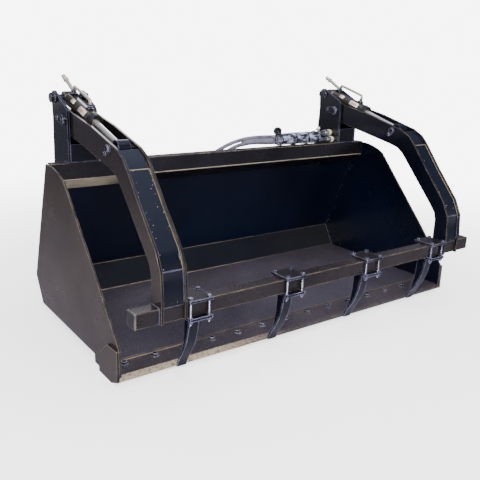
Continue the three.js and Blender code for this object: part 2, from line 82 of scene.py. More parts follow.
CAMERA_AZIMUTH = -36.435
CAMERA_ELEVATION = 16.99
CAMERA_ROLL = 2.118
CAMERA_PLACE = (-2032.5, -2123.2, 1341.2)
CAMERA_LENS = 46.33
SENSOR_WIDTH = 36
STUDIO_WHITE = (1.0, 1.0, 0.995)
STUDIO_STRENGTH = 7.0
SKY_HORIZON = (0.66, 0.64, 0.7)
SKY_BELTS = ((0.12, (0.34, 0.33, 0.38)), (0.35, (0.15, 0.16, 0.21)), (0.6, (0.11, 0.14, 0.22)))
SKY_TOP = (0.85, (0.56, 0.62, 0.86))
# Each light's name, place, target, size, watts and colour, and whether the paint mirrors it
LIGHTS = (
    ("key", (-2.6, -4.4, 3.4), (0, 0, 0.4), (3.0, 2.0), 300, (1.0, 0.97, 0.95), True),
    ("fill", (3.2, -2.6, 4.2), (0, 0, 0.5), (5.0, 5.0), 70, (0.8, 0.86, 1.0), False),
    ("top", (0, -0.9, 3.8), (0, 0.1, 0), (3.6, 2.6), 135, (1.0, 0.96, 1.0), False),
    ("back", (0.5, 4.6, 4.2), (0, 0, 0.6), (4.0, 1.6), 90, (0.95, 0.93, 1.0), True),
)


def make_camera():
    azimuth, elevation = math.radians(CAMERA_AZIMUTH), math.radians(CAMERA_ELEVATION)
    back = Vector((
        math.sin(azimuth) * math.cos(elevation),
        -math.cos(azimuth) * math.cos(elevation),
        math.sin(elevation),
    ))
    roll = Matrix.Rotation(math.radians(CAMERA_ROLL), 4, "Z").to_quaternion()
    camera = placed("camera", bpy.data.cameras.new("camera"))
    camera.data.sensor_width = SENSOR_WIDTH
    camera.data.lens = CAMERA_LENS
    camera.data.clip_end = 100
    camera.rotation_mode = "QUATERNION"
    camera.rotation_quaternion = (-back).to_track_quat("-Z", "Y") @ roll
    camera.location = at(*CAMERA_PLACE)
    bpy.context.scene.camera = camera


def make_lights():
    for name, place, target, size, power, colour, mirrored in LIGHTS:
        light = bpy.data.lights.new(name, "AREA")
        light.shape = "RECTANGLE"
        light.size, light.size_y = size
        light.energy = power
        light.color = colour
        lamp = placed(name, light)
        lamp.location = place
        lamp.rotation_euler = (Vector(target) - Vector(place)).to_track_quat("-Z", "Y").to_euler()
        lamp.visible_glossy = mirrored


def make_world():
    """A studio that is white to the camera, with a pale horizon, a dark belt and a bluish top."""
    world = bpy.data.worlds.new("studio")
    bpy.context.scene.world = world
    world.use_nodes = True
    tree = world.node_tree
    tree.nodes.clear()
    new, link = tree.nodes.new, tree.links.new
    coordinates = new("ShaderNodeTexCoord")
    split = new("ShaderNodeSeparateXYZ")
    ramp = new("ShaderNodeValToRGB")
    horizon, top = ramp.color_ramp.elements
    horizon.color = (*SKY_HORIZON, 1)
    top.position = SKY_TOP[0]
    top.color = (*SKY_TOP[1], 1)
    for height, colour in SKY_BELTS:
        ramp.color_ramp.elements.new(height).color = (*colour, 1)
    lit, seen = (new("ShaderNodeBackground") for _ in range(2))
    seen.inputs["Color"].default_value = (*STUDIO_WHITE, 1)
    seen.inputs["Strength"].default_value = STUDIO_STRENGTH
    path = new("ShaderNodeLightPath")
    mix = new("ShaderNodeMixShader")
    output = new("ShaderNodeOutputWorld")
    link(coordinates.outputs["Generated"], split.inputs[0])
    link(split.outputs["Z"], ramp.inputs["Fac"])
    link(ramp.outputs["Color"], lit.inputs["Color"])
    link(path.outputs["Is Camera Ray"], mix.inputs["Fac"])
    link(lit.outputs[0], mix.inputs[1])
    link(seen.outputs[0], mix.inputs[2])
    link(mix.outputs[0], output.inputs["Surface"])


# ---- materials ----------------------------------------------------------------------------------

# The tan and lavender below are edge colours: painted highlight on rounded edges, with some real wear.
TAN_WEAR_AND_HIGHLIGHT = (0.46, 0.36, 0.22)
LAVENDER_WEAR_AND_HIGHLIGHT = (0.42, 0.42, 0.62)
DUST = (0.075, 0.066, 0.075)
GRIME = (0.08, 0.06, 0.05)


class Finish:
    """A node material in the making: a Principled surface and short calls for its nodes."""

    def __init__(self, name):
        self.material = bpy.data.materials.new(name)
        self.material.use_nodes = True
        self.tree = self.material.node_tree
        self.surface = self.tree.nodes["Principled BSDF"]
        self.place = self.add("ShaderNodeTexCoord").outputs["Object"]

    def set(self, **values):
        for key, value in values.items():
            self.surface.inputs[key.replace("_", " ").title().replace("Ior", "IOR")].default_value = value

    def add(self, kind):
        return self.tree.nodes.new(kind)

    def link(self, output, socket):
        self.tree.links.new(output, socket)

    def put(self, value, socket):
        """A colour, a number or another node's output into a socket."""
        if isinstance(value, tuple):
            socket.default_value = (*value, 1)
        elif isinstance(value, float):
            socket.default_value = value
        else:
            self.link(value, socket)

    def noise(self, scale, detail=3.0, roughness=0.55, place=None):
        node = self.add("ShaderNodeTexNoise")
        node.inputs["Scale"].default_value = scale
        node.inputs["Detail"].default_value = detail
        node.inputs["Roughness"].default_value = roughness
        self.link(place or self.place, node.inputs["Vector"])
        return node.outputs["Fac"]

    def stretched(self, scale):
        node = self.add("ShaderNodeMapping")
        node.inputs["Scale"].default_value = scale
        self.link(self.place, node.inputs["Vector"])
        return node.outputs["Vector"]

    def between(self, value, low, high, to_low=0.0, to_high=1.0):
        """A value's share of the way from low to high, turned into the same share of another range."""
        node = self.add("ShaderNodeMapRange")
        ends = (("From Min", low), ("From Max", high), ("To Min", to_low), ("To Max", to_high))
        for socket, number in ends:
            node.inputs[socket].default_value = number
        self.link(value, node.inputs["Value"])
        return node.outputs["Result"]

    def reckon(self, operation, a, b, clamp=False):
        node = self.add("ShaderNodeMath")
        node.operation = operation
        node.use_clamp = clamp
        self.put(a, node.inputs[0])
        self.put(b, node.inputs[1])
        return node.outputs[0]

    def times(self, a, b):
        return self.reckon("MULTIPLY", a, b)

    def plus(self, a, b):
        return self.reckon("ADD", a, b, True)

    def mix(self, factor, a, b, blend="MIX"):
        node = self.add("ShaderNodeMix")
        node.data_type = "RGBA"
        node.blend_type = blend
        self.put(factor, node.inputs["Factor"])
        self.put(a, node.inputs[6])
        self.put(b, node.inputs[7])
        return node.outputs[2]

    def split(self, output):
        node = self.add("ShaderNodeSeparateXYZ")
        self.link(output, node.inputs[0])
        return node.outputs

    def normal(self):
        return self.add("ShaderNodeNewGeometry").outputs["Normal"]

    def warm_reflection_mask(self):
        """Mask of a painted warm reflection: towards 1 on faces that look away from the part's middle
        plane, and less so high up.
        """
        facing, place = self.split(self.normal()), self.split(self.place)
        outer = self.between(self.times(facing["X"], place["X"]), 0.3, 0.7)
        return self.times(outer, self.between(place["Z"], 1.02, 0.66, 0.3, 1.0))

    def upward(self):
        """Towards 1 on faces that look up, and 0 on walls and undersides."""
        return self.between(self.split(self.normal())["Z"], 0.2, 0.95)

    def along(self, axis, low, high, to_low=0.0, to_high=1.0):
        """A ramp over the piece's own metres along one axis."""
        return self.between(self.split(self.place)[axis], low, high, to_low, to_high)

    def edges(self, radius):
        """How much the surface turns within a radius: 0 on flats, towards 1 on edges."""
        bevel = self.add("ShaderNodeBevel")
        bevel.samples = 4
        bevel.inputs["Radius"].default_value = radius
        dot = self.add("ShaderNodeVectorMath")
        dot.operation = "DOT_PRODUCT"
        self.link(bevel.outputs["Normal"], dot.inputs[0])
        self.link(self.normal(), dot.inputs[1])
        return self.between(dot.outputs["Value"], 0.995, 0.86)

    def bump(self, height, strength, distance):
        node = self.add("ShaderNodeBump")
        node.inputs["Strength"].default_value = strength
        node.inputs["Distance"].default_value = distance
        self.link(height, node.inputs["Height"])
        self.link(node.outputs["Normal"], self.surface.inputs["Normal"])

    def colour(self, output):
        self.link(output, self.surface.inputs["Base Color"])

    def roughness(self, output):
        self.link(output, self.surface.inputs["Roughness"])


def darker(colour, share):
    return tuple(c * share for c in colour)


def paint(name, base, dust_amount, gloss, wear_and_highlight_amount, dust=DUST, wear_and_highlight=TAN_WEAR_AND_HIGHLIGHT, outer=None, overlay=None,
          grit=False, shine=0.6, wear_and_highlight_width=0.006):
    """Enamel: orange peel, uneven gloss, settled dust, scuffs, and edges lightened by a painted highlight
    with some wear.

    gloss is the lowest and highest roughness; outer is a painted warm reflection, the browner tone of faces
    that look out to the sides; the overlay function gives a mask and a colour laid over the paint, for
    painted highlights and a tan strip; grit adds a dense sandy speckle.
    """
    finish = Finish(name)
    dusty = finish.times(
        finish.between(finish.noise(2.4, 5.0, 0.6), 0.36, 0.72, 0.2, 1.0),
        finish.between(finish.noise(120.0, 2.0, 0.7), 0.42, 0.66, 0.2, 1.0),
    )
    dusty = finish.times(dusty, finish.between(finish.upward(), 0.0, 1.0, 0.3 * dust_amount, dust_amount))
    streaks = finish.noise(9.0, 4.0, 0.7, finish.stretched((1, 2.2, 34)))
    scuffed = finish.times(
        finish.between(streaks, 0.69, 0.74),
        finish.between(finish.noise(3.1, 2.0), 0.55, 0.68, 0.0, 0.55),
    )
    patchy = finish.between(finish.noise(14.0, 4.0), 0.36, 0.58, 0.3, 1.0)
    # Painted highlight on rounded edges, with some real wear: the edge mask, broken in patches.
    painted_highlight = finish.times(finish.edges(wear_and_highlight_width), patchy)
    # Painted warm reflection: faces that look out to the sides, more so low down, take the browner outer
    # tone.
    tone = finish.mix(finish.warm_reflection_mask(), base, outer) if outer else base
    cloudy = finish.between(finish.noise(1.7, 3.0, 0.5), 0.35, 0.65)
    tone = finish.mix(1.0, tone, finish.mix(cloudy, (0.62, 0.62, 0.64), (1.3, 1.28, 1.24)), "MULTIPLY")
    painted = finish.mix(finish.plus(dusty, scuffed), tone, dust)
    if grit:
        grains = finish.plus(
            finish.between(finish.noise(300.0, 2.0, 0.8), 0.55, 0.66, 0.0, 0.5),
            finish.between(finish.noise(105.0, 2.0, 0.8), 0.56, 0.66, 0.0, 0.55),
        )
        painted = finish.mix(grains, painted, darker(dust, 1.9))
    finished = finish.mix(finish.times(painted_highlight, wear_and_highlight_amount), painted, wear_and_highlight)
    # Laid over last: the painted highlight lines and the tan strip that some paints ask for.
    if overlay:
        mask, colour = overlay(finish)
        finished = finish.mix(mask, finished, colour)
    finish.colour(finished)
    uneven = finish.between(finish.noise(5.0, 4.0, 0.6), 0.3, 0.75, *gloss)
    finish.roughness(finish.plus(uneven, finish.times(dusty, 0.5)))
    peel = finish.plus(
        finish.times(finish.noise(330.0, 1.5), 0.7),
        finish.times(finish.noise(38.0, 2.0), 0.45),
    )
    finish.bump(peel, 0.16, 0.0006)
    finish.set(specular_ior_level=shine)
    return finish.material


def edge_nose_highlight(finish):
    """A painted highlight on the nose of the cutting edge, tan and speckled at the left, fading out to the
    right.
    """
    nose = finish.along("Y", EDGE_LOW.y + 0.027, EDGE_LOW.y + 0.024)
    speckle = finish.between(finish.noise(90.0, 3.0, 0.7), 0.38, 0.5, 0.25, 1.0)
    fade = finish.along("X", -0.6, -0.15, 1.0, 0.03)
    return finish.times(finish.times(nose, speckle), fade), (0.52, 0.42, 0.28)


def highlight_line(start, end):
    """A painted highlight line that fades out between two places across the part."""
    def painted_highlight(finish):
        fade = finish.along("X", start, end, 1.0, 0.1)
        broken = finish.between(finish.noise(11.0, 4.0, 0.7), 0.36, 0.52, 0.35, 1.0)
        return finish.times(fade, broken), (0.36, 0.29, 0.18)
    return painted_highlight


def tan_strip_and_lip_highlight(finish):
    """The strip under the beam's lip, tan at one end, and a painted highlight along the lip's lower edge.
    """
    low = finish.along("Z", 0.7405, 0.7385)
    end = finish.along("X", -0.78, -0.62, 1.0, 0.0)
    grain = finish.noise(70.0, 3.0, 0.7, finish.stretched((0.15, 1, 1)))
    strip = finish.times(finish.times(low, end), finish.between(grain, 0.25, 0.55, 0.7, 1.0))
    # A painted highlight along the lip's lower edge.
    edge = finish.times(
        finish.along("Z", 0.7475, 0.746),
        finish.between(finish.noise(6.0, 3.0), 0.3, 0.5, 0.45, 1.0),
    )
    front = finish.along("Y", at(0, 729, 0).y, at(0, 727, 0).y)
    return finish.plus(strip, finish.times(finish.times(edge, front), 0.42)), (0.86, 0.74, 0.53)


def metal(name, colour, roughness, grain=(1, 1, 1), grime_amount=0.35, clean=1.0):
    """Bare or plated metal, brushed along its grain, with grime in patches."""
    finish = Finish(name)
    finish.set(metallic=clean)
    brushed = finish.noise(220.0, 3.0, 0.6, finish.stretched(grain))
    patches = finish.between(finish.noise(30.0, 4.0, 0.65), 0.5, 0.75, 0.0, grime_amount)
    bright = finish.mix(finish.between(brushed, 0.3, 0.7), darker(colour, 0.72), colour)
    finish.colour(finish.mix(patches, bright, GRIME))
    finish.roughness(finish.plus(
        finish.between(brushed, 0.3, 0.7, roughness * 0.7, roughness * 1.3),
        finish.times(patches, 0.6),
    ))
    finish.bump(brushed, 0.08, 0.0003)
    return finish.material


def rubber(name, colour):
    """Hose cover: matt, finely grained, and paler in patches."""
    finish = Finish(name)
    patches = finish.noise(26.0, 4.0)
    finish.colour(finish.mix(finish.between(patches, 0.35, 0.7), colour, darker(colour, 2.2)))
    finish.roughness(finish.between(patches, 0.3, 0.7, 0.42, 0.62))
    finish.bump(finish.noise(260.0, 2.0), 0.25, 0.0006)
    return finish.material


def plastic(name, colour, roughness):
    """Moulded plastic with a slight mottle."""
    finish = Finish(name)
    mottle = finish.noise(60.0, 3.0)
    finish.colour(finish.mix(finish.between(mottle, 0.35, 0.7), colour, darker(colour, 0.8)))
    finish.roughness(finish.between(mottle, 0.3, 0.7, roughness, roughness + 0.15))
    finish.bump(mottle, 0.1, 0.0004)
    return finish.material


def film(name, hollow_shade, crease_highlight, spread):
    """Grey stretch film, crumpled, with painted highlight on the creases and painted shade in the hollows.
    """
    finish = Finish(name)
    creases = finish.noise(42.0, 5.0, 0.7, finish.stretched((0.45, 1, 1)))
    # Painted shade in the hollows and painted highlight on the creases, from the same noise as the bump.
    finish.colour(finish.mix(finish.between(creases, *spread), hollow_shade, crease_highlight))
    finish.roughness(finish.between(creases, 0.3, 0.7, 0.16, 0.4))
    finish.bump(creases, 0.9, 0.006)
    finish.set(coat_weight=0.4, coat_roughness=0.12)
    return finish.material


def ground():
    """A plain pale floor that fades into the white of the studio and mirrors as a darker shop floor."""
    material = bpy.data.materials.new("studio_floor")
    material.use_nodes = True
    tree = material.node_tree
    tree.nodes.clear()
    new, link = tree.nodes.new, tree.links.new
    pale = new("ShaderNodeBsdfDiffuse")
    pale.inputs["Color"].default_value = (0.86, 0.855, 0.85, 1)
    lift, white, cool = (new("ShaderNodeEmission") for _ in range(3))
    lift.inputs["Strength"].default_value = 2.0
    white.inputs["Color"].default_value = (*STUDIO_WHITE, 1)
    white.inputs["Strength"].default_value = STUDIO_STRENGTH
    cool.inputs["Color"].default_value = (0.8, 0.76, 0.94, 1)
    lifted = new("ShaderNodeAddShader")
    link(pale.outputs[0], lifted.inputs[0])
    link(lift.outputs[0], lifted.inputs[1])
    distance = new("ShaderNodeVectorMath")
    distance.operation = "LENGTH"
    link(new("ShaderNodeTexCoord").outputs["Object"], distance.inputs[0])
    fade, dimmer = (new("ShaderNodeMapRange") for _ in range(2))
    fade.interpolation_type = "SMOOTHSTEP"
    for node, limits in ((fade, (1.2, 4.5, 0.0, 1.0)), (dimmer, (1.2, 4.2, 0.62, 0.2))):
        for socket, number in zip(("From Min", "From Max", "To Min", "To Max"), limits):
            node.inputs[socket].default_value = number
        link(distance.outputs["Value"], node.inputs["Value"])
    link(dimmer.outputs["Result"], cool.inputs["Strength"])
    path = new("ShaderNodeLightPath")
    seen, direct, mirrored = (new("ShaderNodeMixShader") for _ in range(3))
    for mixer, factor, first, second in (
        (seen, fade.outputs["Result"], lifted, white),
        (direct, path.outputs["Is Camera Ray"], pale, seen),
        (mirrored, path.outputs["Is Glossy Ray"], direct, cool),
    ):
        link(factor, mixer.inputs["Fac"])
        link(first.outputs[0], mixer.inputs[1])
        link(second.outputs[0], mixer.inputs[2])
    link(mirrored.outputs[0], new("ShaderNodeOutputMaterial").inputs["Surface"])
    return material


def plate_paints():
    """The paint of each kind of plate: name, base, dust amount, gloss, edge wear and highlight amount."""
    # The side and arm browns are painted warm reflection on faces that look out to the sides.
    side_warm_reflection, arm_warm_reflection = (0.046, 0.030, 0.0165), (0.033, 0.0215, 0.0145)
    # The navy bases of the inside and side paints and the blue in place of the inside dust are painted sky
    # reflection.
    sky_reflection_blue, floor_dust, edge_dust = (0.012, 0.018, 0.045), (0.10, 0.088, 0.108), (0.12, 0.10, 0.11)
    return {
        "gloss": paint("gloss_black", (0.003, 0.005, 0.010), 0.1, (0.1, 0.22), 0.4, wear_and_highlight=LAVENDER_WEAR_AND_HIGHLIGHT),
        "side": paint("side_black", (0.0006, 0.0035, 0.014), 0.12, (0.24, 0.38), 0.8, outer=side_warm_reflection),
        "arm": paint("arm_black", (0.003, 0.0045, 0.010), 0.12, (0.1, 0.24), 0.45, outer=arm_warm_reflection),
        "bar": paint("bar_black", (0.019, 0.0155, 0.0165), 0.12, (0.2, 0.34), 0.9, shine=0.4),
        "beam": paint("beam_black", (0.010, 0.009, 0.0125), 0.16, (0.16, 0.3), 0.95, overlay=tan_strip_and_lip_highlight),
        "inside": paint("inside_black", (0.0003, 0.0038, 0.018), 0.2, (0.3, 0.45), 0.6, sky_reflection_blue),
        "heel": paint("heel_black", (0.0025, 0.0035, 0.0075), 0.12, (0.3, 0.44), 0.6, shine=0.45),
        "floor": paint(
            "floor_black", (0.021, 0.0175, 0.0245), 0.8, (0.36, 0.55), 0.6, floor_dust, grit=True,
        ),
        "edge": paint(
            "edge_black", (0.020, 0.0165, 0.0215), 0.45, (0.28, 0.45), 0.3, edge_dust,
            overlay=edge_nose_highlight, grit=True,
        ),
    }


def fitting_paints():
    """The paint of tines, clamps, beads, pins and barrels, in the same order."""
    tine_dust, clamp_dust, weld_dust = (0.05, 0.055, 0.09), (0.06, 0.048, 0.045), (0.14, 0.13, 0.16)
    # The bright and cream edge colours are painted highlight on the edges of the hardware and barrels, with
    # some wear.
    seam_dust_and_highlight, bright, cream_wear_and_highlight = (0.26, 0.22, 0.15), (0.72, 0.70, 0.9), (0.6, 0.55, 0.42)
    return {
        "tine": paint("tine_black", (0.0018, 0.0032, 0.010), 0.08, (0.08, 0.18), 0.95, tine_dust, LAVENDER_WEAR_AND_HIGHLIGHT),
        "clamp": paint(
            "clamp_black", (0.007, 0.006, 0.0065), 0.25, (0.24, 0.38), 0.8, clamp_dust, LAVENDER_WEAR_AND_HIGHLIGHT, shine=0.3,
        ),
        "weld": paint("weld_black", (0.010, 0.011, 0.018), 0.3, (0.08, 0.18), 0.7, weld_dust, LAVENDER_WEAR_AND_HIGHLIGHT),
        # The bend and step beads carry a tan painted highlight line that fades out across the part.
        "bend": paint(
            "bend_black", (0.010, 0.009, 0.012), 0.3, (0.25, 0.4), 0.2, wear_and_highlight=LAVENDER_WEAR_AND_HIGHLIGHT,
            overlay=highlight_line(-0.1, 0.5),
        ),
        "step": paint(
            "step_black", (0.017, 0.0145, 0.019), 0.5, (0.3, 0.45), 0.2, overlay=highlight_line(-0.8, -0.45),
        ),
        # The tan seam paint is a painted highlight on the beads down the arms' front edges.
        "seam": paint("seam_highlight", (0.13, 0.105, 0.065), 0.6, (0.25, 0.4), 0.9, seam_dust_and_highlight),
        "hardware": paint(
            "hardware_black", (0.005, 0.006, 0.011), 0.2, (0.05, 0.13), 0.95, wear_and_highlight=bright,
            wear_and_highlight_width=0.0026,
        ),
        # The barrel's olive-brown base is a painted reflection: brownish reflections on a black barrel put
        # into its colour.
        "barrel": paint(
            "barrel_paint", (0.048, 0.040, 0.025), 0.15, (0.05, 0.13), 0.6, wear_and_highlight=cream_wear_and_highlight, shine=1.0,
        ),
        "inner_weld": paint(
            "inner_weld_black", (0.0006, 0.004, 0.016), 0.1, (0.2, 0.35), 0.06, wear_and_highlight=LAVENDER_WEAR_AND_HIGHLIGHT,
        ),
    }


def make_materials():
    return {
        **plate_paints(),
        **fitting_paints(),
        # The films' darker and paler colours are painted shade in hollows and painted highlight on creases.
        "sleeve": film("hose_sleeve", (0.10, 0.095, 0.135), (0.30, 0.29, 0.38), (0.3, 0.75)),
        "film": film("stretch_film", (0.016, 0.018, 0.034), (0.55, 0.56, 0.72), (0.47, 0.62)),
        "spatter": metal("spatter_steel", (0.8, 0.8, 0.92), 0.3, grime_amount=0.2),
        "zinc": metal("zinc_steel", (0.62, 0.63, 0.68), 0.3),
        "bolt": metal("bolt_steel", (0.55, 0.55, 0.68), 0.22, grime_amount=0.55),
        "line": metal("line_steel", (0.86, 0.78, 0.62), 0.2, grime_amount=0.25, clean=0.6),
        "chrome": metal("chrome_rod", (1.0, 0.95, 0.86), 0.09, (1, 0.05, 0.05), 0.05, 0.8),
        "rubber": rubber("hose_rubber", (0.085, 0.08, 0.11)),
        "cap": plastic("cap_yellow", (0.90, 0.80, 0.50), 0.3),
        "tie": plastic("tie_black", (0.012, 0.012, 0.014), 0.3),
        "decal_white": plastic("decal_white", (0.80, 0.79, 0.76), 0.3),
        "decal_orange": plastic("decal_orange", (0.85, 0.27, 0.02), 0.3),
        "ground": ground(),
    }


# ---- mesh helpers -------------------------------------------------------------------------------

JOIN_DISTANCE = 0.00002
FLAT_ANGLE = 0.5
SHARP_ANGLE = 32


def smooth_group():
    """A geometry node group that joins a CAD mesh's split corners and shades it smooth."""
    group = bpy.data.node_groups.new("join_corners", "GeometryNodeTree")
    group.interface.new_socket("Geometry", in_out="INPUT", socket_type="NodeSocketGeometry")
    group.interface.new_socket("Geometry", in_out="OUTPUT", socket_type="NodeSocketGeometry")
    nodes, link = group.nodes, group.links.new
    start, end = nodes.new("NodeGroupInput"), nodes.new("NodeGroupOutput")
    merge = nodes.new("GeometryNodeMergeByDistance")
    merge.inputs["Distance"].default_value = JOIN_DISTANCE
    drop = nodes.new("GeometryNodeRemoveAttribute")
    drop.inputs["Name"].default_value = "custom_normal"
    shade = nodes.new("GeometryNodeSetShadeSmooth")
    link(start.outputs[0], merge.inputs["Geometry"])
    link(merge.outputs["Geometry"], drop.inputs["Geometry"])
    link(drop.outputs["Geometry"], shade.inputs["Geometry"])
    link(shade.outputs["Geometry"], end.inputs[0])
    return group


def soften(piece, width):
    """Rounded edges, their width in millimetres, and even shading, as modifiers."""
    bevel = piece.modifiers.new("rounded_edges", "BEVEL")
    bevel.width = width * MM
    bevel.segments = 2
    bevel.limit_method = "ANGLE"
    bevel.angle_limit = math.radians(SHARP_ANGLE)
    bevel.use_clamp_overlap = True
    normals = piece.modifiers.new("even_shading", "WEIGHTED_NORMAL")
    normals.keep_sharp = True


def finish_node(node, material, width):
    """A CAD node that stays: its own material, with its edges rounded by modifiers."""
    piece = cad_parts[node]
    piece.data.materials.clear()
    piece.data.materials.append(MATERIALS[material])
    join = piece.modifiers.new("join_corners", "NODES")
    join.node_group = JOIN_CORNERS
    flat = piece.modifiers.new("one_face_per_flat", "DECIMATE")
    flat.decimate_type = "DISSOLVE"
    flat.angle_limit = math.radians(FLAT_ANGLE)
    soften(piece, width)


def piece_of(name, build, material, body, stands_for=(), smooth=True, rounded=None):
    """A new piece that rides on a body, with the CAD nodes that it stands for."""
    mesh = build.mesh(name, smooth)
    piece = placed(name, mesh)
    mesh.materials.append(MATERIALS[material])
    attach(piece, body)
    if stands_for:
        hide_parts(*stands_for)
    if rounded:
        soften(piece, rounded)
    return piece


def frame_along(direction):
    """Two unit vectors square to a direction."""
    direction = direction.normalized()
    helper = Vector((0, 0, 1)) if abs(direction.z) < 0.9 else Vector((1, 0, 0))
    side = direction.cross(helper).normalized()
    return side, direction.cross(side).normalized()


def circle(count, turn=0.0):
    """Evenly spaced angles once round."""
    return [turn + 2 * math.pi * i / count for i in range(count)]


def loop(count):
    """The same with the first angle repeated at the end."""
    return [2 * math.pi * i / count for i in range(count + 1)]


class Build:
    """Collects turned, boxed and swept shapes into one mesh."""

    def __init__(self):
        self.vertices = []
        self.faces = []

    def rings(self, rings, closed=False):
        start, size = len(self.vertices), len(rings[0])
        for ring in rings:
            self.vertices.extend(ring)
        count = len(rings)
        for i in range(count if closed else count - 1):
            a, b = start + i * size, start + (i + 1) % count * size
            for j in range(size):
                k = (j + 1) % size
                self.faces.append((a + j, a + k, b + k, b + j))
        if not closed:
            self.faces.append(tuple(range(start, start + size)))
            self.faces.append(tuple(start + (count - 1) * size + j for j in reversed(range(size))))
        return self

    def turned(self, origin, direction, profile, sides=48, closed=False, turn=0.0):
        """profile is (radius, distance) pairs in millimetres along direction from origin."""
        side, up = frame_along(direction)
        direction = direction.normalized()
        rings = []
        for radius, distance in profile:
            centre = origin + direction * distance * MM
            size = max(radius, 0.01) * MM
            rings.append([
                centre + side * size * math.cos(a) + up * size * math.sin(a) for a in circle(sides, turn)
            ])
        return self.rings(rings, closed)

    def hexagon(self, origin, direction, across_flats, height, turn=0.0):
        corner = across_flats / 2 / math.cos(math.pi / 6)
        crown = corner * 0.93
        profile = [(crown, 0), (corner, height * 0.08), (corner, height * 0.88), (crown, height)]
        return self.turned(origin, direction, profile, 6, turn=turn)

    def box(self, low, high, place=None):
        """A box between two corners in millimetres, off the cutting edge or, with place, in its frame."""
        xs, ys, zs = zip(low, high)
        corners = [Vector((x * MM, y * MM, z * MM)) for z in zs for y in ys for x in xs]
        start = len(self.vertices)
        self.vertices.extend(place @ c if place else c + at(0, 0, 0) for c in corners)
        for face in ((0, 2, 3, 1), (4, 5, 7, 6), (0, 1, 5, 4), (2, 6, 7, 3), (0, 4, 6, 2), (1, 3, 7, 5)):
            self.faces.append(tuple(start + i for i in face))
        return self

    def sweep(self, points, radius, sides=10, ripple=0.0):
        """A round bar along points. radius is in millimetres; ripple makes the scales of a weld."""
        rings = []
        side = None
        for i, point in enumerate(points):
            ahead = points[min(i + 1, len(points) - 1)] - points[max(i - 1, 0)]
            ahead.normalize()
            if side is None:
                side, up = frame_along(ahead)
            else:
                side = (side - ahead * side.dot(ahead)).normalized()
                up = ahead.cross(side)
            size = radius * MM
            if ripple:
                size *= 1 + ripple * (math.sin(i * 1.9) + 0.8 * noise.noise(point * 60))
            if ripple and i in (0, len(points) - 1):
                size *= 0.4
            rings.append([
                point + side * size * math.cos(a) + up * size * math.sin(a) for a in circle(sides)
            ])
        return self.rings(rings)

    def mesh(self, name, smooth=True):
        mesh = bpy.data.meshes.new(name)
        mesh.from_pydata([tuple(v) for v in self.vertices], [], self.faces)
        fixed = bmesh.new()
        fixed.from_mesh(mesh)
        bmesh.ops.remove_doubles(fixed, verts=fixed.verts, dist=1e-6)
        bmesh.ops.recalc_face_normals(fixed, faces=fixed.faces)
        for face in fixed.faces:
            face.smooth = smooth
        fixed.to_mesh(mesh)
        fixed.free()
        return mesh


def spaced(points, step):
    """The same line with a point about every step millimetres."""
    result = [points[0].copy()]
    for a, b in zip(points, points[1:]):
        count = max(1, round((b - a).length / (step * MM)))
        result.extend(a.lerp(b, i / count) for i in range(1, count + 1))
    return result


def rounded_line(points, per_span=8):
    """A smooth line through points (Catmull-Rom)."""
    ends = [2 * points[0] - points[1], *points, 2 * points[-1] - points[-2]]
    line = [points[0].copy()]
    for p0, p1, p2, p3 in zip(ends, ends[1:], ends[2:], ends[3:]):
        for i in range(1, per_span + 1):
            t = i / per_span
            line.append(0.5 * (
                2 * p1 + (p2 - p0) * t + (2 * p0 - 5 * p1 + 4 * p2 - p3) * t ** 2
                + (3 * p1 - 3 * p2 + p3 - p0) * t ** 3
            ))
    return line


# ---- plates that stay as they are ---------------------------------------------------------------

NODE_FINISHES = (
    ("floor_plate", "floor", 1.5),
    ("heel_plate", "heel", 1.5),
    ("back_plate", "inside", 1.5),
    ("top_beam", "beam", 2.6),
    ("cutting_edge", "edge", 2.0),
    ("lip_plate", "edge", 1.4),
    ("crossbar_tube", "bar", 3.5),
    ("coupler_top_hook", "gloss", 1.8),
    ("coupler_bottom_ledge", "gloss", 1.8),
    ("skid_runner_1", "gloss", 1.5),
    ("skid_runner_2", "gloss", 1.5),
    ("skid_runner_3", "gloss", 1.5),
    ("bulkhead_bracket", "zinc", 0.8),
)
PAIRED_FINISHES = (
    ("side_plate", "side", 1.6),
    ("side_cutter", "side", 1.8),
    ("tower_inner_plate", "gloss", 1.6),
    ("tower_outer_plate", "gloss", 1.6),
    ("tower_front_plate", "gloss", 1.6),
    ("tower_rear_plate", "gloss", 1.6),
    ("coupler_bar", "gloss", 1.5),
    ("arm_inner_plate", "arm", 2.2),
    ("arm_outer_plate", "arm", 2.2),
    ("arm_face_plate", "arm", 1.6),
    ("arm_web_plate", "arm", 1.6),
    ("crossbar_cap", "bar", 1.4),
)


def finish_nodes():
    for node, material, width in NODE_FINISHES:
        finish_node(node, material, width)
    for stem, material, width in PAIRED_FINISHES:
        for side, _ in SIDES:
            finish_node(f"{stem}_{side}", material, width)
    for i in range(len(TINE_X)):
        finish_node(f"tine_{i + 1}", "tine", 1.8)


# ---- fasteners ----------------------------------------------------------------------------------

CLAMP_FRONT, CLAMP_REAR = -168, -46
CLAMP_HALF_WIDTH = 58
CLAMP_TOP = BAR_TOP + 13
CLAMP_BASE_LOW = BAR_LOW - 14
CLAMP_BOLT_X = (-45, 45)
CLAMP_BOLT_Y = (-152.5, -64)
EDGE_BOLT_COUNT = 14
EDGE_BOLT_PITCH = 152.4
EDGE_BOLT_Y = 105
PLATE_GAP = 0.3


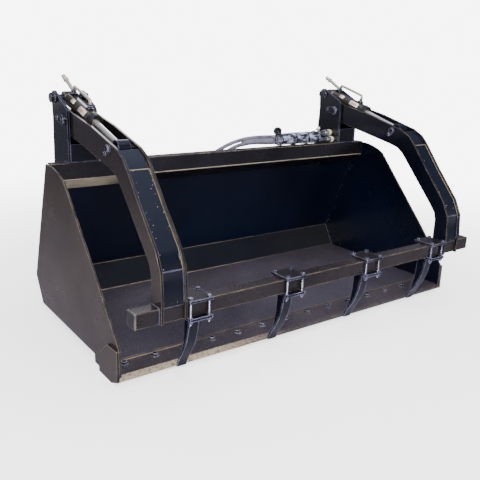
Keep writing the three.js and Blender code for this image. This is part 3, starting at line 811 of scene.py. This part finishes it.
def clamp_bolt(bolts, x, y, turn):
    """A bolt down through the clamp plate and the tine's base, with washers and a nut."""
    top, under = at(x, y, CLAMP_TOP), at(x, y, CLAMP_BASE_LOW)
    bolts.turned(top, Z, [(12, 0), (12, 1.8), (11.5, 2.2)], 32)
    bolts.hexagon(top + Z * 2.2 * MM, Z, 20, 7.4, turn)
    thread = [(6.5, 0)]
    for step in range(0, 108, 2):
        thread += [(6.6, step + 0.4), (6.0, step + 1.4)]
    bolts.turned(at(x, y, CLAMP_BASE_LOW - 19), Z, thread, 20)
    bolts.turned(under, -Z, [(12, 0), (12, 1.8)], 32)
    bolts.hexagon(under - Z * 1.8 * MM, -Z, 20, 9.5, turn + 0.5)


def clamp_sets():
    """Each tine's clamp plate and its four bolts."""
    for i, x in enumerate(TINE_X):
        plate = Build().box(
            (x - CLAMP_HALF_WIDTH, CLAMP_FRONT, BAR_TOP + PLATE_GAP),
            (x + CLAMP_HALF_WIDTH, CLAMP_REAR, CLAMP_TOP),
        )
        piece_of(
            f"clamp_plate_{i + 1}", plate, "clamp", "grapple", (f"tine_clamp_{i + 1}",),
            smooth=False, rounded=2,
        )
        bolts = Build()
        for j, (dx, y) in enumerate((dx, y) for y in CLAMP_BOLT_Y for dx in CLAMP_BOLT_X):
            clamp_bolt(bolts, x + dx, y, 0.4 + 0.7 * j + i)
        piece_of(
            f"clamp_bolts_{i + 1}", bolts, "bolt", "grapple", smooth=False, rounded=0.7,
        )


def edge_bolts():
    """Heads and washers of the bolts that hold the cutting edge."""
    heads = Build()
    for i in range(EDGE_BOLT_COUNT):
        x = (i - (EDGE_BOLT_COUNT - 1) / 2) * EDGE_BOLT_PITCH
        heads.turned(at(x, EDGE_BOLT_Y, 19.8), Z, [(20, 0), (20, 2.0), (19.4, 2.6), (10, 2.6)], 32)
        heads.hexagon(at(x, EDGE_BOLT_Y, 21), Z, 26.6, 12, 0.35 * i)
        heads.turned(at(x, EDGE_BOLT_Y, 33), Z, [(10.5, 0), (9.5, 1.2), (6.0, 2.4), (0, 2.8)], 24)
    piece_of(
        "edge_bolt_heads", heads, "hardware", "bucket", smooth=False, rounded=0.8,
    )


def pin(centre, place, radius, reach, chamfer=2, sides=40):
    """A round pin across the part, with chamfered ends, that reaches to both sides of centre."""
    length, tip = 2 * reach, radius - chamfer
    profile = [(tip, 0), (radius, chamfer), (radius, length - chamfer), (tip, length)]
    return Build().turned(at(centre - reach, *place), X, profile, sides)


def keeper(build, face, out, centre, tail, sign):
    """A pin's keeper: a flag with a round head and a bolt at its tail, on one face."""
    thickness = 7.5
    y, z = centre
    dy, dz = tail
    length = math.hypot(dy, dz)
    side = Vector((0, -dz / length, dy / length))
    along = Vector((0, dy / length, dz / length))
    rings = []
    for distance in (0, thickness):
        base = Vector((face * MM + sign * distance * MM, 0, 0))
        rings.append([])
        for i in range(25):
            angle = math.pi * i / 24
            turned = side * math.cos(angle) - along * math.sin(angle)
            rings[-1].append(base + at(0, y, z) + turned * out * MM)
        for i in range(13):
            angle = math.pi * i / 12
            end = at(0, y + dy, z + dz)
            turned = -side * math.cos(angle) + along * math.sin(angle)
            rings[-1].append(base + end + turned * out * 0.55 * MM)
    build.rings(rings)
    direction = X * sign
    start = Vector((face * MM, 0, 0))
    build.hexagon(start + direction * thickness * MM + at(0, y + dy, z + dz), direction, 17, 8, 0.3)


def pins():
    for side, sign in SIDES:
        centre = sign * ARM_CENTRE
        pivot = pin(centre, PIVOT, 19, TOWER_HALF_WIDTH + 18)
        base = pin(centre, BASE_PIN, 16, TOWER_HALF_WIDTH + 14)
        rod = pin(centre, ROD_PIN, 12.5, ARM_HALF_WIDTH + 12, 1.5, 32)
        for out in (-1, 1):
            tower_face = centre + out * (TOWER_HALF_WIDTH + PLATE_GAP)
            keeper(pivot, tower_face, 26, PIVOT, (56, 4), out)
            start = at(tower_face, *BASE_PIN)
            base.turned(start, X * out, [(29, 0), (29, 3), (28, 4)], 48)
            base.hexagon(start + X * out * 4 * MM, X * out, 44, 15, 0.25)
            keeper(rod, centre + out * (ARM_HALF_WIDTH + PLATE_GAP), 19, ROD_PIN, (18, -24), out)
        sets = (
            ("pivot_pin", pivot, "bucket"),
            ("cylinder_base_pin", base, "bucket"),
            ("rod_pin", rod, "grapple"),
        )
        for name, build, body in sets:
            piece_of(
                f"{name}_set_{side}", build, "hardware", body, (f"{name}_{side}",),
                smooth=False, rounded=0.8,
            )


# ---- cylinders ----------------------------------------------------------------------------------

CYLINDER_TILT = math.atan2(BASE_PIN[1] - ROD_PIN[1], BASE_PIN[0] - ROD_PIN[0])
CYLINDER_LENGTH = math.hypot(BASE_PIN[0] - ROD_PIN[0], BASE_PIN[1] - ROD_PIN[1])
LINE_HEIGHT = 77
LINE_RADIUS = 7.6
ELBOW_RADIUS = 9.5
DECAL_RADIUS = 35.4
DECAL_THICKNESS = 0.3
# Each sticker's start and length along the barrel, its angle round it, half its width, its colour
DECALS = {
    "decal_long": (196, 74, -0.95, 0.42, "decal_white"),
    "decal_mark": (212, 42, -0.95, 0.13, "decal_orange"),
    "decal_short": (96, 40, -0.8, 0.3, "decal_white"),
    "decal_dash": (98, 16, -0.8, 0.2, "decal_orange"),
}
ROUNDED_PIECES = ("barrel", "gland", "ports", "rod", "rod_eye")


def cylinder_place(sign):
    """From a cylinder's own frame (base pin at the origin, rod towards -Y, Z up) to the row frame."""
    return Matrix.Translation(at(sign * ARM_CENTRE, *BASE_PIN)) @ Matrix.Rotation(CYLINDER_TILT, 4, "X")


def in_place(build, place):
    build.vertices = [place @ v for v in build.vertices]
    return build


def local(x, along, up):
    """A point in a cylinder's own frame, in metres, from millimetres."""
    return Vector((x * MM, -along * MM, up * MM))


def barrel_shapes():
    tube = Build().turned(Vector(), -Y, [
        (0, 18), (24, 18), (31, 24), (35, 36), (35, 300), (16.9, 300.5), (16.9, 334), (27.5, 334.5),
        (27.5, 70), (0, 70),
    ], 64)
    lug = [(28, 0), (30, 2), (30, 58), (28, 60), (17.2, 60), (17.2, 0)]
    tube.turned(local(-30, 0, 0), X, lug, 48, closed=True)
    gland = Build().turned(Vector(), -Y, [
        (35.2, 299), (38, 301), (38, 309), (36.6, 310.5), (36.6, 313), (38, 314.5), (38, 330), (35, 335),
        (20, 335), (20, 332), (17, 332), (17, 300),
    ], 64, closed=True)
    ports = Build()
    ports.box((-16, -74, 29), (16, -40, 47), Matrix.Identity(4))
    ports.box((-13, -270, 30), (13, -242, 45), Matrix.Identity(4))
    for along, top in ((62, 47), (256, 45)):
        ports.hexagon(local(0, along, top), Z, 21, 9, 0.2)
        ports.hexagon(local(0, along, top + 9.5), Z, 17, 8, 0.5)
    ports.hexagon(local(0, 52, 44), Z, 22, 8)
    return {"barrel": (tube, "barrel"), "gland": (gland, "tie"), "ports": (ports, "hardware")}


def local_line(points):
    """A smooth line in a cylinder's middle plane, through points along and above its axis."""
    return rounded_line([local(0, along, up) for along, up in points])


def steel_line():
    return Build().sweep(local_line([
        (62, 44), (62, LINE_HEIGHT - 12), (65, LINE_HEIGHT - 3), (74, LINE_HEIGHT),
        (160, LINE_HEIGHT + 2), (242, LINE_HEIGHT + 2), (252, LINE_HEIGHT - 3), (256, LINE_HEIGHT - 13),
        (256, 44),
    ]), LINE_RADIUS, 16)


def rear_elbow():
    """The hose fitting behind the barrel, closed at its end."""
    route = [(52, 44), (44, 53), (24, 58), (0, 63), (-44, 72), (-70, 76)]
    elbow = Build().sweep(local_line(route), ELBOW_RADIUS, 16)
    ahead = (local(0, -70, 76) - local(0, -44, 72)).normalized()
    elbow.hexagon(local(0, -44, 72), ahead, 25, 12)
    elbow.turned(local(0, -66, 75.3), ahead, [(11, 0), (11, 18), (9.5, 21), (0, 22)], 24)
    return elbow


def decal(along, length, angle, half_angle):
    """A plain sticker bent round the barrel."""
    steps = 10
    rings = []
    for distance in (along, along + length):
        rings.append([])
        for layer in (DECAL_RADIUS, DECAL_RADIUS + DECAL_THICKNESS):
            angles = [angle + half_angle * (2 * i / steps - 1) for i in range(steps + 1)]
            if layer > DECAL_RADIUS:
                angles.reverse()
            rings[-1].extend(local(layer * math.sin(a), distance, layer * math.cos(a)) for a in angles)
    return Build().rings(rings)


def rod_shapes():
    shaft = Build().turned(Vector(), -Y, [
        (0, 190), (26, 190), (27, 192), (27, 219), (16, 220), (16, CYLINDER_LENGTH - 34),
        (0, CYLINDER_LENGTH - 33),
    ], 48)
    bored = [(33.5, 0), (35, 1.5), (35, 58.5), (33.5, 60), (24, 60), (24, 0)]
    eye = Build().turned(local(-30, CYLINDER_LENGTH, 0), X, bored, 48, closed=True)
    eye.turned(local(0, CYLINDER_LENGTH - 46, 0), -Y, [(16.4, 0), (21, 4), (21, 20)], 32)
    return {"rod": (shaft, "chrome"), "rod_eye": (eye, "gloss")}


def cylinder_pieces(shapes, place, side, body, main):
    """The pieces of one cylinder half. The one named main stands for its CAD node."""
    for name, (build, material) in shapes.items():
        piece_of(
            f"{name}_{side}", in_place(build, place), material, f"{side}_{body}",
            (f"cylinder_{main}_{side}",) if name == main else (),
            smooth=name != "ports", rounded=0.8 if name in ROUNDED_PIECES else None,
        )


def cylinders():
    for side, sign in SIDES:
        place = cylinder_place(sign)
        shapes = barrel_shapes()
        shapes["steel_line"] = (steel_line(), "line")
        shapes["rear_elbow"] = (rear_elbow(), "line")
        for name, (*shape, colour) in DECALS.items():
            shapes[name] = (decal(*shape), colour)
        cylinder_pieces(shapes, place, side, "barrel", "barrel")
        cylinder_pieces(rod_shapes(), place, side, "rod", "rod")


# ---- hoses --------------------------------------------------------------------------------------

HOSE_RADIUS = 11
HOSE_ROUTES = {
    "lower": [
        (-250, 872, 664), (-205, 872, 664), (-150, 868, 674), (-90, 856, 702), (-30, 838, 742),
        (25, 819, 782), (80, 801, 811), (140, 786, 826), (205, 779, 829), (270, 776, 826),
        (335, 775, 823), (430, 775, 822), (530, 775, 822), (630, 774, 822), (680, 767, 821),
        (710, 764, 820), (735, 764, 820),
    ],
    "upper": [
        (-250, 872, 712), (-206, 872, 712), (-155, 868, 722), (-95, 856, 748), (-38, 838, 782),
        (20, 819, 816), (80, 801, 840), (145, 787, 853), (210, 779, 857), (270, 776, 857),
        (335, 775, 855), (430, 775, 855), (530, 775, 855), (630, 776, 855), (680, 783, 858),
        (710, 787, 860), (735, 787, 860),
    ],
}
WRAP_START, WRAP_LENGTH = 335, 365
WRAP_CENTRE = (775, BEAM_TOP + 39)
WRAP_RADIUS = 37.2
TIES = (0.12, 0.43, 0.70, 0.9)
SLEEVE_START, SLEEVE_END = 0.10, 0.345


def quick_coupler(end):
    body = Build().hexagon(end - X * 26 * MM, X, 27, 26)
    body.turned(end - X * 58 * MM, X, [(12.4, 0), (12.6, 32)], 32)
    body.turned(end, X, [
        (13, 1), (15, 2), (15, 17), (18, 20), (18, 30), (16.8, 31), (16.8, 35), (18, 36), (18, 46),
        (14, 48), (14, 56),
    ], 40)
    return body


def dust_cap(end):
    cap = Build().turned(end, X, [
        (16, 54), (19, 55), (19, 67), (17.5, 68.5), (16, 69), (16, 74), (14.5, 76), (0, 76),
    ], 40)
    rib = [end + Vector((0.050, 0.019 * math.cos(a), 0.019 * math.sin(a))) for a in loop(32)]
    return cap.sweep(rib, 1.6, 8)


def wrap_point(x, angle, radius):
    return at(x, WRAP_CENTRE[0] + radius * math.cos(angle), WRAP_CENTRE[1] + radius * math.sin(angle))


def wrap_shape():
    """Stretch film wound round both hoses: a crumpled tube, pinched where the ties go."""
    rings = []
    around, along = 80, 170
    for i in range(along + 1):
        t = i / along
        x = WRAP_START + WRAP_LENGTH * t
        pinch = 1 - 0.11 * sum(math.exp(-((t - tie) / 0.022) ** 2) for tie in TIES)
        end = 1 - 0.3 * math.exp(-(t / 0.05) ** 2) - 0.2 * math.exp(-((1 - t) / 0.03) ** 2)
        rings.append([])
        for angle in circle(around):
            spot = Vector((x * 0.022, math.cos(angle) * 1.4, math.sin(angle) * 1.4))
            fold = abs(noise.noise(spot * 2.6 + Vector((7, 0, 0))))
            crumple = noise.noise(spot) * 2.6 + fold * 5.5 + abs(noise.noise(spot * 6.5)) * 2.2
            radius = min(WRAP_RADIUS * pinch * end - 3.6 + crumple, WRAP_RADIUS)
            y = WRAP_CENTRE[0] + radius * math.cos(angle)
            z = max(WRAP_CENTRE[1] + radius * math.sin(angle), BEAM_TOP + 0.8)
            rings[-1].append(at(x, y, z))
    return Build().rings(rings)


def wrap_straps():
    """Cable ties round the wrap with their tails, and one long strap wound along it."""
    ties = Build()
    for tie in TIES:
        x = WRAP_START + WRAP_LENGTH * tie
        ties.sweep([wrap_point(x + 3 * math.sin(a * 2), a, 35.5) for a in loop(48)], 2.4, 8)
        ties.sweep([wrap_point(x, 2.3, 35), wrap_point(x + 5, 2.2, 46)], 2.2, 6)
    wound = [wrap_point(455 + 190 * i / 60, 4.4 - 2.9 * i / 60, 37.4) for i in range(61)]
    ties.sweep(wound, 2.6, 8)
    return ties


def sleeve_shape():
    """Film pulled over both hoses on the way to the wrap, webbed between them."""
    lower, upper = (rounded_line([at(*p) for p in route], 6) for route in HOSE_ROUTES.values())
    rings = []
    for low, high in zip(lower, upper):
        if not SLEEVE_START <= low.x <= SLEEVE_END:
            continue
        middle, span = (low + high) / 2, (high - low) / 2
        rings.append([])
        for angle in circle(28):
            waist = 0.74 + 0.26 * abs(math.sin(angle)) ** 2
            ruffle = noise.noise(Vector((low.x * 60, math.cos(angle) * 2, angle)))
            size = HOSE_RADIUS * MM + 0.0013 + 0.0012 * ruffle
            up = math.sin(angle)
            rings[-1].append(middle + span * up + Vector((0, math.cos(angle) * size * waist, up * size)))
    return Build().rings(rings)


def loose_caps():
    """A black dust plug tied on top of the wrap, and a pale cap on its end."""
    centre = at(356, 772, BEAM_TOP + 90)
    plug = Build().turned(centre, Vector((-0.45, -0.85, 0.1)), [
        (0, -15), (20, -15), (23.5, -12), (23.5, 10), (21, 14), (15, 14), (12.5, 11), (12.5, 4), (0, 4),
    ], 32)
    plug.sweep([centre - Z * 16 * MM, centre - Z * 26 * MM], 5, 10)
    piece_of("plug_black", plug, "tie", "bucket")
    profile = [(8, 0), (9.5, 1), (9.5, 20), (8, 22), (0, 22.5)]
    cap = Build().turned(at(690, 786, BEAM_TOP + 84), Vector((1, 0.1, 0.5)), profile, 28)
    piece_of("cap_small", cap, "cap", "bucket")
    route = ((640, 779, 70), (660, 783, 78), (675, 785, 80), (692, 786, 85))
    tail = Build().sweep(rounded_line([at(x, y, BEAM_TOP + z) for x, y, z in route]), 2.4, 8)
    piece_of("cap_strap", tail, "tie", "bucket")


def hose_curve(name, points):
    """A hose as a curve with a round section, on the bucket and in place of its CAD node."""
    curve = bpy.data.curves.new(f"hose_lead_{name}", "CURVE")
    curve.dimensions = "3D"
    curve.bevel_depth = HOSE_RADIUS * MM
    curve.bevel_resolution = 5
    curve.use_fill_caps = True
    spline = curve.splines.new("POLY")
    spline.points.add(len(points) - 1)
    for target, point in zip(spline.points, points):
        target.co = (*point, 1)
    spline.use_smooth = True
    lead = placed(f"hose_lead_{name}", curve)
    curve.materials.append(MATERIALS["rubber"])
    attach(lead, "bucket")
    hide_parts(f"hose_{name}")
    return lead


def hoses():
    piece_of("hose_sleeve", sleeve_shape(), "sleeve", "bucket")
    loose_caps()
    film_piece = piece_of("hose_film", wrap_shape(), "film", "bucket", ("hose_wrap",))
    tie_piece = piece_of("hose_ties", wrap_straps(), "tie", "bucket")
    for name, route in HOSE_ROUTES.items():
        points = rounded_line([at(*p) for p in route], 6)
        lead = hose_curve(name, points)
        end = at(*route[-1])
        coupler = piece_of(
            f"coupler_{name}", quick_coupler(end), "zinc", "bucket", (f"quick_coupler_{name}",),
            rounded=0.6,
        )
        cap = piece_of(f"dust_cap_{name}", dust_cap(end), "cap", "bucket")


# ---- welds --------------------------------------------------------------------------------------

WELD_STEP = 3.2
WELD_RIPPLE = 0.16
SHELL_INNER = 1049.5
CAP_JOINT = 1055
FRAME_BARS = (-567, 567, -474, 474)
ARM_FRONT = [(-140, 506), (-101, 584), (33, 735), (137, 863)]


def weld(name, body, lines, radius=4.0, material="weld"):
    build = Build()
    for line in lines:
        build.sweep(spaced([at(*p) for p in line], WELD_STEP), radius, 8, WELD_RIPPLE)
    return piece_of(name, build, material, body)


def crossing(low, high, y, z):
    """A straight line across the part."""
    return [(low, y, z), (high, y, z)]


def bucket_welds():
    seams = []
    for x in (-SHELL_INNER, SHELL_INNER):
        seams.append([(x, 140, 30.5), (x, 933, 30.5), (x, 1013, 163), (x, 822, 646)])
        seams.append([(x, 727, 716), (x, 727, 798)])
        seams.append([(x, 728, 714), (x, 806, 657)])
    weld("side_seams", "bucket", seams, 3.0, "inner_weld")
    width = (-SHELL_INNER, SHELL_INNER)
    # The bend beads and the edge seam carry the painted highlight line of their paints.
    weld("bend_seams", "bucket", [crossing(*width, 931, 31), crossing(*width, 1013.5, 162)], 2.4, "bend")
    weld("edge_seam", "bucket", [crossing(*width, 136, 20.5)], 3.0, "step")
    weld("beam_rear_seam", "bucket", [crossing(*width, 779, 797)], 3.4)


def tower_welds():
    lines = []
    for _, sign in SIDES:
        centre = sign * ARM_CENTRE
        for offset in (-TOWER_HALF_WIDTH, TOWER_HALF_WIDTH):
            x = centre + offset
            lines.append([(x, 720, 801), (x, 778, 801)])
            lines.append([(x, 783, 797), (x, 872, 562)])
        lines.append(crossing(centre - 64, centre + 64, 721.5, 802))
        for x in (centre - 64, centre + 64):
            lines.append([(x, 721.5, 806), (x, 721.5, 886)])
            lines.append([(x, 901, 645), (x, 901, 1030)])
    weld("tower_welds", "bucket", lines, 4.4)


def arm_welds():
    lines, painted_highlight = [], []
    for _, sign in SIDES:
        centre = sign * ARM_CENTRE
        for x in (centre - 48, centre + 48):
            lines.append([(x, -148, 372), (x, -149, 400), (x, -140, 506)])
            painted_highlight.append([(x, y, z) for y, z in ARM_FRONT])
        for offset in (-ARM_HALF_WIDTH - 0.5, ARM_HALF_WIDTH + 0.5):
            x = centre + offset
            lines.append([(x, -141, BAR_TOP + 1.5), (x, -74, BAR_TOP + 1.5)])
            lines.append([(x, -143.5, BAR_LOW), (x, -143.5, BAR_TOP)])
        for y, z in ((-146, BAR_TOP + 2), (-72, BAR_TOP + 2), (-141, 510)):
            lines.append(crossing(centre - 46, centre + 46, y, z))
        painted_highlight.append(crossing(centre - 48, centre + 48, *ARM_FRONT[-1]))
    weld("arm_welds", "grapple", lines, 4.0)
    # Beads down the arms' front edges, in tan paint: a painted highlight.
    weld("arm_face_welds", "grapple", painted_highlight, 2.6, "seam")
    outline = ((BAR_FRONT, BAR_LOW), (BAR_FRONT, BAR_TOP), (BAR_REAR, BAR_TOP), (BAR_REAR, BAR_LOW))
    caps = [[(sign * CAP_JOINT, y, z) for y, z in outline] for _, sign in SIDES]
    weld("crossbar_cap_welds", "grapple", caps, 2.2)


def frame_welds():
    """Beads where the coupler frame meets the back plate."""
    lines = [[(x, 1007, 206), (x, 838, 633)] for x in FRAME_BARS]
    weld("frame_welds", "bucket", lines, 3.4)


def speck(build, place, radius):
    """A drop of weld metal: a small ball."""
    angles = [math.pi * i / 4 for i in range(5)]
    profile = [(radius * math.sin(a), radius * (1 - math.cos(a))) for a in angles]
    build.turned(place - Z * radius * MM, Z, profile, 8)


def shell_spatter(chance):
    """Drops beside the inner seams, down the back plate and along the floor."""
    shell = Build()
    for x in (-SHELL_INNER - 0.1, SHELL_INNER + 0.1):
        for _ in range(16):
            t = chance.random()
            y, z = 822 + 191 * t, 646 - 483 * t
            speck(shell, at(x, y - 6 - 26 * chance.random(), z), 1.2 + 1.6 * chance.random())
        for _ in range(7):
            place = at(x, 160 + 700 * chance.random(), 31 + 22 * chance.random())
            speck(shell, place, 1.2 + 1.2 * chance.random())
    piece_of("shell_spatter", shell, "spatter", "bucket")


def arm_spatter(chance):
    """Drops on the front of the arms, most of them near the plates' edges, and at their feet."""
    arms = Build()
    corners = [(-141, 512), *ARM_FRONT[1:]]
    for _, sign in SIDES:
        centre = sign * ARM_CENTRE
        for _ in range(34):
            i = chance.randrange(3)
            (y0, z0), (y1, z1) = corners[i], corners[i + 1]
            t = chance.random()
            across = chance.choice((-1, 1)) * (44 - 22 * chance.random() ** 2)
            place = at(centre + across, y0 + (y1 - y0) * t, z0 + (z1 - z0) * t)
            speck(arms, place, 1.0 + 1.5 * chance.random())
        for _ in range(12):
            across = 46 * (2 * chance.random() - 1)
            place = at(centre + across, -147, BAR_TOP + 4 + 16 * chance.random())
            speck(arms, place, 1.2 + 1.8 * chance.random())
    piece_of("arm_spatter", arms, "spatter", "grapple")


def spatter():
    """Small drops of weld metal beside the seams."""
    chance = random.Random(5)
    shell_spatter(chance)
    arm_spatter(chance)


# ---- the scene ----------------------------------------------------------------------------------

FLOOR_RADIUS = 14
FLOOR_HEIGHTS = (-0.05, -0.0005)


def make_floor():
    rings = [
        [Vector((FLOOR_RADIUS * math.cos(a), FLOOR_RADIUS * math.sin(a), z)) for a in circle(64)]
        for z in FLOOR_HEIGHTS
    ]
    floor = placed("studio_floor", Build().rings(rings).mesh("studio_floor", False))
    floor.data.materials.append(MATERIALS["ground"])


MATERIALS = make_materials()
JOIN_CORNERS = smooth_group()
make_camera()
make_lights()
make_world()
make_floor()
finish_nodes()
clamp_sets()
edge_bolts()
pins()
cylinders()
hoses()
bucket_welds()
tower_welds()
arm_welds()
frame_welds()
spatter()
